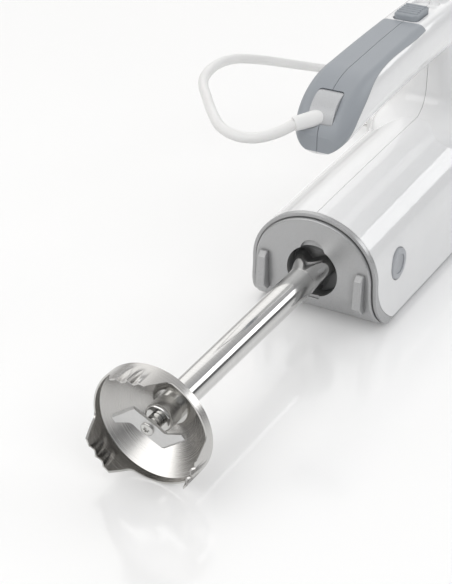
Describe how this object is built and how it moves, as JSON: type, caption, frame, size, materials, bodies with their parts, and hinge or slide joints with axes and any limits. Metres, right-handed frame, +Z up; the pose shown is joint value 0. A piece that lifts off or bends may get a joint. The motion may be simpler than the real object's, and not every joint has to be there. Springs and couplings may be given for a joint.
{
  "type": "hand mixer with immersion blender foot",
  "caption": "Corded hand mixer with a looped handle, beater sockets, and a steel blender foot with a scalloped bell plugged into its rear port.",
  "frame": {"origin": "on the table, under the body, midway between the two beater sockets", "axes": "+Z up, +Y along the motor axis towards the nose, away from the blender foot, +X to the right seen from behind"},
  "size_m": [0.1712, 0.5295, 0.1483],
  "materials": {
    "housing_left": "gloss",
    "housing_right": "gloss",
    "base_cover": "satin",
    "rear_cover": "satin",
    "grip_left": "matte",
    "grip_right": "matte",
    "cord_gland": "satin",
    "strain_relief": "matte",
    "cord_free": "matte",
    "cord_coil": "matte",
    "cord_tie": "satin",
    "plug_body": "satin",
    "plug_pins": "polished",
    "port_sleeve": "satin",
    "motor_stator": "brushed",
    "field_coils": "bare",
    "brush_holders": "satin",
    "carbon_brushes": "matte",
    "rear_bracket": "satin",
    "front_bracket": "satin",
    "rear_bearing": "brushed",
    "front_bearing": "brushed",
    "gear_bridge": "satin",
    "switch_module": "satin",
    "housing_screws": "brushed",
    "eject_spring": "brushed",
    "motor_shaft": "brushed",
    "armature": "brushed",
    "armature_winding": "bare",
    "commutator": "bare",
    "cooling_fan": "satin",
    "worm": "brushed",
    "drive_socket": "satin",
    "foot_tube": "polished",
    "foot_bell": "brushed",
    "foot_bush": "brushed",
    "foot_head": "satin",
    "foot_seal": "matte",
    "drive_rod": "brushed",
    "drive_dog": "brushed",
    "blade": "brushed",
    "blade_screw": "brushed",
    "release_button_left": "satin",
    "release_button_right": "satin",
    "button_spring_left": "brushed",
    "button_spring_right": "brushed",
    "worm_wheel_left": "satin",
    "worm_wheel_right": "satin",
    "beater_socket_left": "brushed",
    "beater_socket_right": "brushed",
    "speed_switch": "satin",
    "eject_button": "satin",
    "ejector_fork": "satin"
  },
  "bodies": {
    "housing": {"housing_left": "housing_left", "housing_right": "housing_right", "base_cover": "base_cover", "rear_cover": "rear_cover", "grip_left": "grip_left", "grip_right": "grip_right", "cord_gland": "cord_gland", "strain_relief": "strain_relief", "cord_free": "cord_free", "cord_coil": "cord_coil", "cord_tie": "cord_tie", "plug_body": "plug_body", "plug_pins": "plug_pins", "port_sleeve": "port_sleeve", "motor_stator": "motor_stator", "field_coils": "field_coils", "brush_holders": "brush_holders", "carbon_brushes": "carbon_brushes", "rear_bracket": "rear_bracket", "front_bracket": "front_bracket", "rear_bearing": "rear_bearing", "front_bearing": "front_bearing", "gear_bridge": "gear_bridge", "switch_module": "switch_module", "housing_screws": "housing_screws", "eject_spring": "eject_spring"},
    "rotor": {"motor_shaft": "motor_shaft", "armature": "armature", "armature_winding": "armature_winding", "commutator": "commutator", "cooling_fan": "cooling_fan", "worm": "worm", "drive_socket": "drive_socket"},
    "foot": {"foot_tube": "foot_tube", "foot_bell": "foot_bell", "foot_bush": "foot_bush", "foot_head": "foot_head", "foot_seal": "foot_seal"},
    "blade_drive": {"drive_rod": "drive_rod", "drive_dog": "drive_dog", "blade": "blade", "blade_screw": "blade_screw"},
    "gear_left": {"worm_wheel_left": "worm_wheel_left", "beater_socket_left": "beater_socket_left"},
    "gear_right": {"worm_wheel_right": "worm_wheel_right", "beater_socket_right": "beater_socket_right"},
    "release_left": {"release_button_left": "release_button_left", "button_spring_left": "button_spring_left"},
    "release_right": {"release_button_right": "release_button_right", "button_spring_right": "button_spring_right"},
    "switch": {"speed_switch": "speed_switch"},
    "eject": {"eject_button": "eject_button", "ejector_fork": "ejector_fork"}
  },
  "joints": [
    {"name": "rotor_spin", "type": "hinge", "parent": "housing", "child": "rotor", "pos_m": [0, -0.065, 0.0325], "axis": [0, 1, 0], "continuous": true},
    {"name": "foot_pull", "type": "slide", "parent": "housing", "child": "foot", "axis": [0, -1, 0], "range_m": [0, 0.032]},
    {"name": "blade_spin", "type": "hinge", "parent": "foot", "child": "blade_drive", "pos_m": [0, -0.265, 0.0325], "axis": [0, 1, 0], "continuous": true},
    {"name": "gear_left_spin", "type": "hinge", "parent": "housing", "child": "gear_left", "pos_m": [-0.019, 0, 0.0325], "axis": [0, 0, 1], "continuous": true},
    {"name": "gear_right_spin", "type": "hinge", "parent": "housing", "child": "gear_right", "pos_m": [0.019, 0, 0.0325], "axis": [0, 0, 1], "continuous": true},
    {"name": "release_left_press", "type": "slide", "parent": "housing", "child": "release_left", "axis": [1, 0, 0], "range_m": [0, 0.003], "stiffness_N_per_m": 900, "springref_m": -0.002},
    {"name": "release_right_press", "type": "slide", "parent": "housing", "child": "release_right", "axis": [-1, 0, 0], "range_m": [0, 0.003], "stiffness_N_per_m": 900, "springref_m": -0.002},
    {"name": "speed_slide", "type": "slide", "parent": "housing", "child": "switch", "axis": [0, 1, 0], "range_m": [0, 0.016]},
    {"name": "eject_press", "type": "slide", "parent": "housing", "child": "eject", "axis": [0, 0, -1], "range_m": [0, 0.004], "stiffness_N_per_m": 1200, "springref_m": -0.003, "deforming": ["eject_spring"]}
  ],
  "couplings": [
    {"joint": "blade_spin", "follows": "rotor_spin", "ratio": 1},
    {"joint": "gear_left_spin", "follows": "rotor_spin", "ratio": -0.071429},
    {"joint": "gear_right_spin", "follows": "rotor_spin", "ratio": 0.071429}
  ]
}
